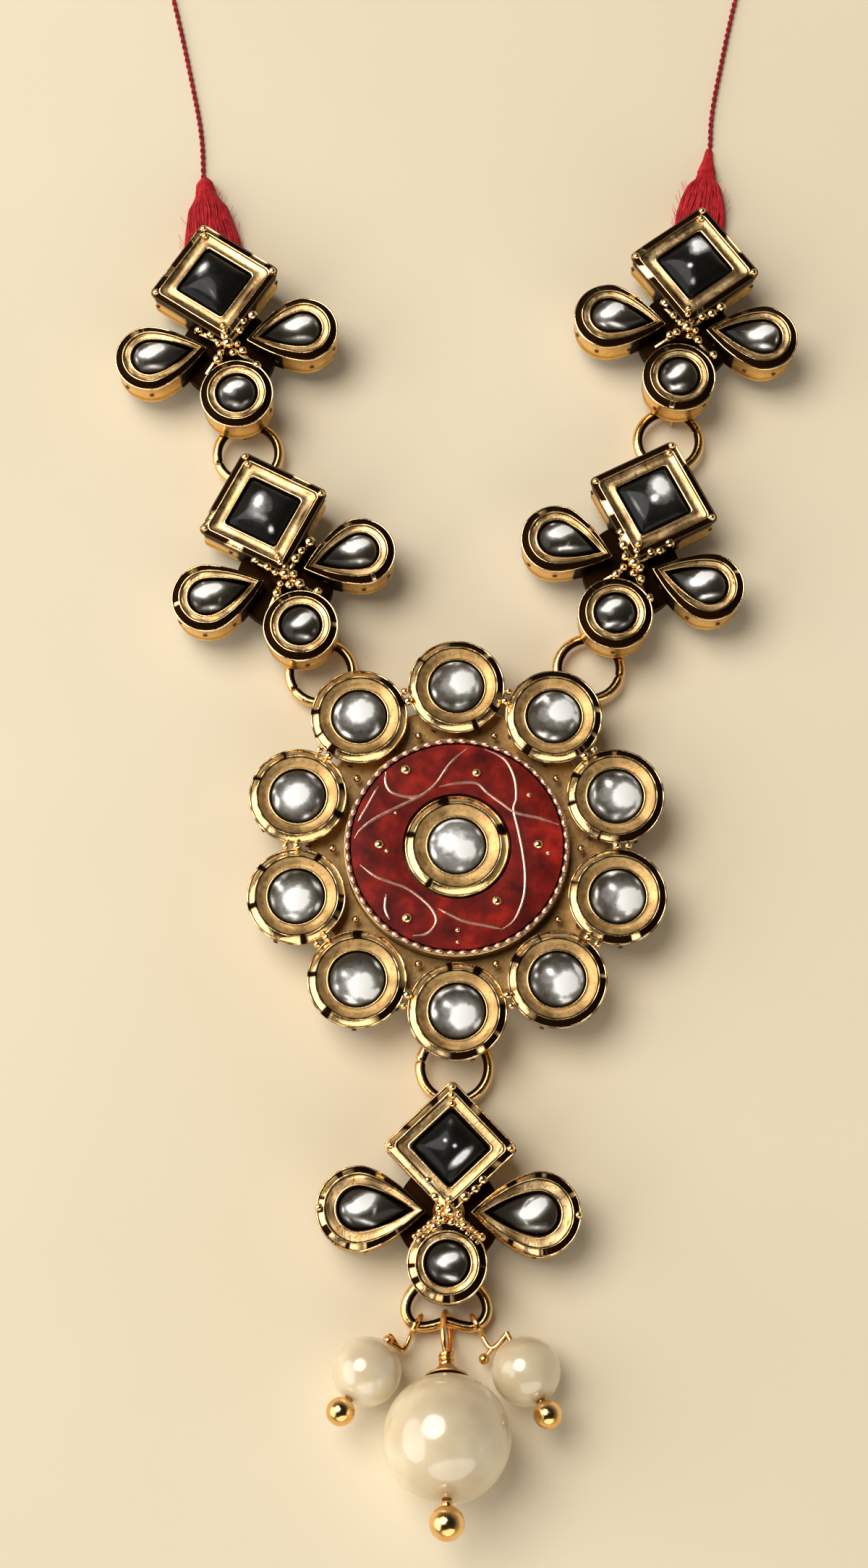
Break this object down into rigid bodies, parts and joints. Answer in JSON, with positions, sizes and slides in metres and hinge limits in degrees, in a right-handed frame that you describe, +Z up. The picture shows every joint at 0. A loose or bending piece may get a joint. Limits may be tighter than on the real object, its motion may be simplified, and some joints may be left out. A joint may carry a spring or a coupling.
{
  "type": "mala necklace",
  "caption": "Mala necklace lying open: stone-set crosses, an enamelled round pendant and pearl drops, joined by jump rings, on a red silk neck thread.",
  "frame": {"origin": "middle of the whole footprint, on the table that the necklace lies on", "axes": "+X to the wearer's left side as it lies face up, +Y from the drops towards the neck, +Z up out of the stones"},
  "size_m": [0.093, 0.2552, 0.011],
  "materials": {
    "gold": "polished, antiqued in the grooves",
    "enamel": "glossy fired enamel",
    "stone": "polished foil-backed glass",
    "dark_stone": "polished foil-backed dark glass",
    "pearl": "pearl lustre",
    "silk": "spun silk"
  },
  "bodies": {
    "root": {"bead_cap": "gold", "big_pearl": "pearl", "big_pearl_pin": "gold", "bottom_cross": "gold", "bottom_left_stone": "stone", "bottom_right_stone": "stone", "bottom_round_stone": "stone", "bottom_square_stone": "dark_stone", "bow_link": "gold", "enamel_disc": "enamel", "left_pearl": "pearl", "left_pearl_pin": "gold", "left_pendant_ring": "gold", "left_ring": "gold", "left_tuft": "silk", "lower_left_cross": "gold", "lower_left_left_stone": "stone", "lower_left_right_stone": "stone", "lower_left_round_stone": "stone", "lower_left_square_stone": "dark_stone", "lower_right_cross": "gold", "lower_right_left_stone": "stone", "lower_right_right_stone": "stone", "lower_right_round_stone": "stone", "lower_right_square_stone": "dark_stone", "lower_ring": "gold", "neck_thread": "silk", "pendant_centre_stone": "stone", "pendant_frame": "gold", "right_pearl": "pearl", "right_pearl_pin": "gold", "right_pendant_ring": "gold", "right_ring": "gold", "right_tuft": "silk", "roundel_stone_1": "stone", "roundel_stone_10": "stone", "roundel_stone_2": "stone", "roundel_stone_3": "stone", "roundel_stone_4": "stone", "roundel_stone_5": "stone", "roundel_stone_6": "stone", "roundel_stone_7": "stone", "roundel_stone_8": "stone", "roundel_stone_9": "stone", "upper_left_cross": "gold", "upper_left_left_stone": "stone", "upper_left_right_stone": "stone", "upper_left_round_stone": "stone", "upper_left_square_stone": "dark_stone", "upper_right_cross": "gold", "upper_right_left_stone": "stone", "upper_right_right_stone": "stone", "upper_right_round_stone": "stone", "upper_right_square_stone": "dark_stone"}
  },
  "joints": []
}
